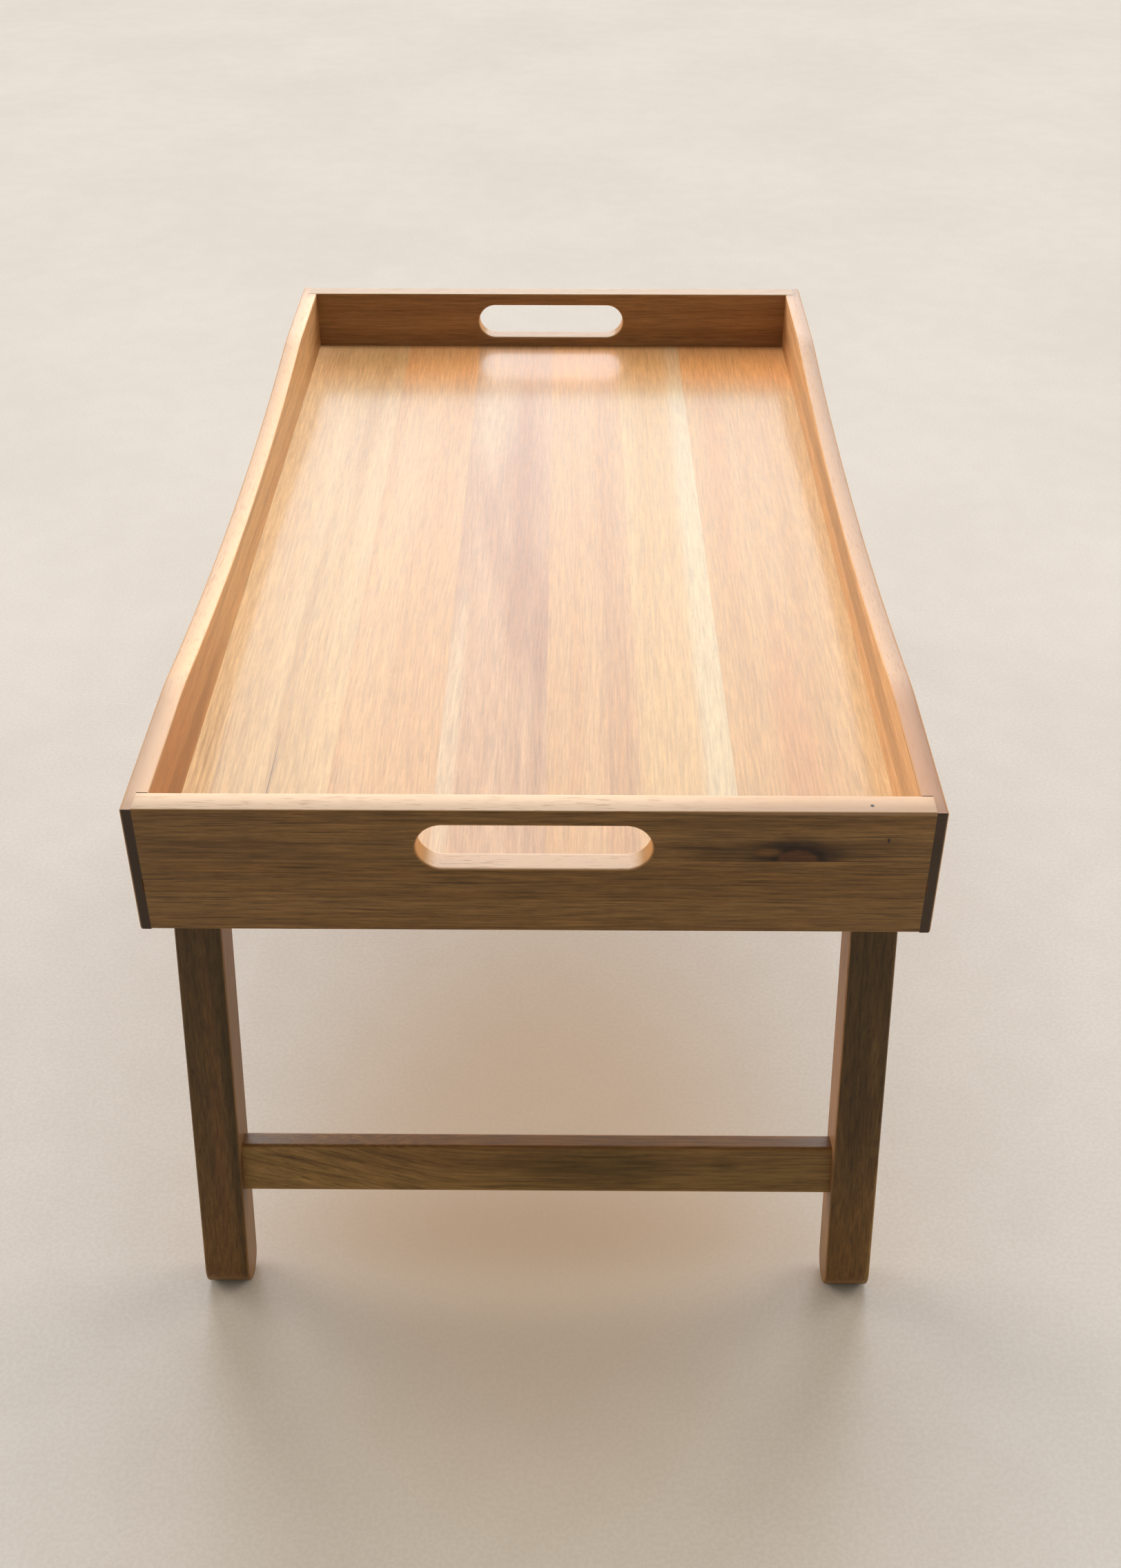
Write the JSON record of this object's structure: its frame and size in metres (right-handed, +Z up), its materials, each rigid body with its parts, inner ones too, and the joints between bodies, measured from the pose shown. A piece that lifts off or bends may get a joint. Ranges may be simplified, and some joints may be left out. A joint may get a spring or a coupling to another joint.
{
  "type": "bed tray table",
  "caption": "Wooden bed tray table with scooped side boards, a handle hole in each end panel, a floor of glued staves and leg frames that fold flat under it.",
  "frame": {"origin": "on the ground under the middle of the table", "axes": "+Z up, +Y along the tray from the near end to the far end, +X to the right of someone looking along +Y"},
  "size_m": [0.34, 0.667, 0.2639],
  "materials": {
    "side_wood": "oiled acacia, satin",
    "end_wood": "oiled acacia, satin",
    "floor_wood": "oiled acacia staves of different tones, satin",
    "leg_wood": "oiled acacia, satin",
    "dowel_wood": "plain beech",
    "brad_steel": "bright steel",
    "screw_steel": "zinc plated",
    "insert_brass": "plain brass"
  },
  "bodies": {
    "tray": {"left_side_board": "side_wood", "right_side_board": "side_wood", "near_end_upper_strip": "end_wood", "near_end_lower_strip": "end_wood", "far_end_upper_strip": "end_wood", "far_end_lower_strip": "end_wood", "floor_stave_1": "floor_wood", "floor_stave_2": "floor_wood", "floor_stave_3": "floor_wood", "floor_stave_4": "floor_wood", "floor_stave_5": "floor_wood", "floor_stave_6": "floor_wood", "floor_stave_7": "floor_wood", "corner_brads": "brad_steel", "pivot_inserts": "insert_brass", "spacer_washers": "screw_steel", "head_washers": "screw_steel", "pivot_screws": "screw_steel"},
    "near_leg_frame": {"near_left_leg": "leg_wood", "near_right_leg": "leg_wood", "near_stretcher": "leg_wood", "near_frame_dowels": "dowel_wood"},
    "far_leg_frame": {"far_left_leg": "leg_wood", "far_right_leg": "leg_wood", "far_stretcher": "leg_wood", "far_frame_dowels": "dowel_wood"}
  },
  "joints": [
    {"name": "near_frame_fold", "type": "hinge", "parent": "tray", "child": "near_leg_frame", "pos_m": [0, -0.2753, 0.20907], "axis": [1, 0, 0], "range_deg": [0, 103.37]},
    {"name": "far_frame_fold", "type": "hinge", "parent": "tray", "child": "far_leg_frame", "pos_m": [0, 0.2753, 0.20907], "axis": [-1, 0, 0], "range_deg": [0, 103.37]}
  ]
}
